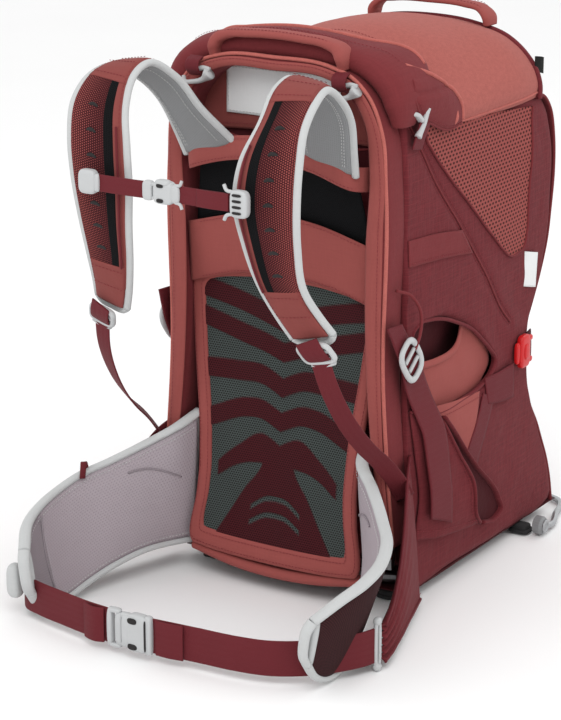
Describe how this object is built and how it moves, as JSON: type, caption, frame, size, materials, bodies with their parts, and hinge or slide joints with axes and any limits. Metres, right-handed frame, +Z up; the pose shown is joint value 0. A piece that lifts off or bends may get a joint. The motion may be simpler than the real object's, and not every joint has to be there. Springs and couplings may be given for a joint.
{
  "type": "child carrier backpack",
  "caption": "Framed child carrier backpack with a suspended mesh back panel, padded harness and hip belt, child cockpit under a hood, and a fold-out kickstand.",
  "frame": {"origin": "middle of the footprint, on the ground the carrier stands on", "axes": "+Z up, -Y towards the wearer's back, +Y towards the child and the rear, +X to the wearer's right"},
  "size_m": [0.5056, 0.7906, 0.738],
  "materials": {
    "frame_aluminium": "satin anodised tube",
    "foot_rubber": "matte moulded rubber",
    "hub_plastic": "fine spark texture",
    "maroon_ripstop": "matte woven ripstop",
    "maroon_lining": "matte woven lining",
    "maroon_webbing": "ribbed flat webbing",
    "coral_mesh": "coarse open mesh",
    "coral_fabric": "matte knitted face",
    "heather_fabric": "flecked soft knit",
    "back_mesh": "open suspension mesh",
    "ridged_foam": "matte closed-cell foam",
    "black_mesh": "fine mesh over foam",
    "strap_mesh": "perforated spacer mesh",
    "hip_padding": "perforated spacer mesh",
    "pale_plastic": "satin moulded acetal",
    "red_plastic": "satin moulded acetal"
  },
  "bodies": {
    "carrier": {"main_frame_tube": "frame_aluminium", "base_frame_tube": "frame_aluminium", "front_foot_left": "foot_rubber", "front_foot_right": "foot_rubber", "rear_foot_left": "foot_rubber", "rear_foot_right": "foot_rubber", "side_panel_left": "maroon_ripstop", "side_panel_right": "maroon_ripstop", "hip_fin_left": "maroon_ripstop", "hip_fin_right": "maroon_ripstop", "rear_panel": "maroon_ripstop", "rear_pocket_panel": "maroon_ripstop", "rear_crown": "maroon_ripstop", "front_rim": "maroon_ripstop", "bottom_panel": "maroon_lining", "cockpit_front_panel": "maroon_lining", "hip_webbing_left": "maroon_webbing", "hip_webbing_right": "maroon_webbing", "lower_webbing_left": "maroon_webbing", "lower_webbing_right": "maroon_webbing", "side_mesh_left": "coral_mesh", "side_mesh_right": "coral_mesh", "back_border": "coral_fabric", "crown_panel": "coral_fabric", "front_handle": "coral_fabric", "rear_handle": "coral_fabric", "seat_back_pad": "coral_fabric", "back_mesh": "back_mesh", "ridged_foam_pad": "ridged_foam", "back_upper_panel": "black_mesh", "hip_wing_left": "hip_padding", "hip_wing_right": "hip_padding", "front_hook_left": "pale_plastic", "front_hook_right": "pale_plastic", "side_toggle_left": "pale_plastic", "side_toggle_right": "pale_plastic", "hip_adjuster_left": "pale_plastic", "hip_adjuster_right": "pale_plastic", "hip_buckle_female": "pale_plastic", "side_buckle_left": "red_plastic", "side_buckle_right": "red_plastic"},
    "kickstand": {"kickstand_loop": "frame_aluminium", "kickstand_cap_left": "hub_plastic", "kickstand_cap_right": "hub_plastic"},
    "harness": {"harness_yoke": "coral_fabric", "shoulder_strap_left": "strap_mesh", "shoulder_strap_right": "strap_mesh", "ladder_lock_left": "pale_plastic", "ladder_lock_right": "pale_plastic"},
    "sternum_strap": {"sternum_slider_left": "pale_plastic", "sternum_slider_right": "pale_plastic", "sternum_webbing_left": "maroon_webbing", "sternum_webbing_right": "maroon_webbing", "sternum_buckle_female": "pale_plastic"},
    "sternum_plug": {"sternum_buckle_male": "pale_plastic"},
    "hip_plug": {"hip_buckle_male": "pale_plastic"},
    "hood": {"hood": "heather_fabric"},
    "child_seat": {"seat_pad": "maroon_lining"},
    "foot_loop_left": {"foot_loop_left": "maroon_ripstop"},
    "foot_loop_right": {"foot_loop_right": "maroon_ripstop"}
  },
  "joints": [
    {"name": "kickstand_fold", "type": "hinge", "parent": "carrier", "child": "kickstand", "pos_m": [0, 0.2547, 0.014], "axis": [1, 0, 0], "range_deg": [0, 58]},
    {"name": "harness_height", "type": "slide", "parent": "carrier", "child": "harness", "axis": [0, 0, 1], "range_m": [-0.05, 0.014], "deforming": ["lower_webbing_left", "lower_webbing_right"]},
    {"name": "sternum_height", "type": "slide", "parent": "harness", "child": "sternum_strap", "axis": [0, 0, 1], "range_m": [-0.02, 0.02]},
    {"name": "sternum_release", "type": "slide", "parent": "sternum_strap", "child": "sternum_plug", "axis": [-1, 0, 0], "range_m": [0, 0.014], "deforming": ["sternum_webbing_left"]},
    {"name": "hip_release", "type": "slide", "parent": "carrier", "child": "hip_plug", "axis": [-1, 0, 0], "range_m": [0, 0.022], "deforming": ["hip_webbing_left"]},
    {"name": "hood_lift", "type": "hinge", "parent": "carrier", "child": "hood", "pos_m": [0, 0.2767, 0.711], "axis": [-1, 0, 0], "range_deg": [0, 55]},
    {"name": "seat_height", "type": "slide", "parent": "carrier", "child": "child_seat", "axis": [0, 0, 1], "range_m": [-0.03, 0.04]},
    {"name": "foot_loop_left_swing", "type": "hinge", "parent": "carrier", "child": "foot_loop_left", "pos_m": [-0.185, 0.0427, 0.268], "axis": [0, 1, 0], "range_deg": [0, 30]},
    {"name": "foot_loop_right_swing", "type": "hinge", "parent": "carrier", "child": "foot_loop_right", "pos_m": [0.185, 0.0427, 0.268], "axis": [0, -1, 0], "range_deg": [0, 30]}
  ]
}
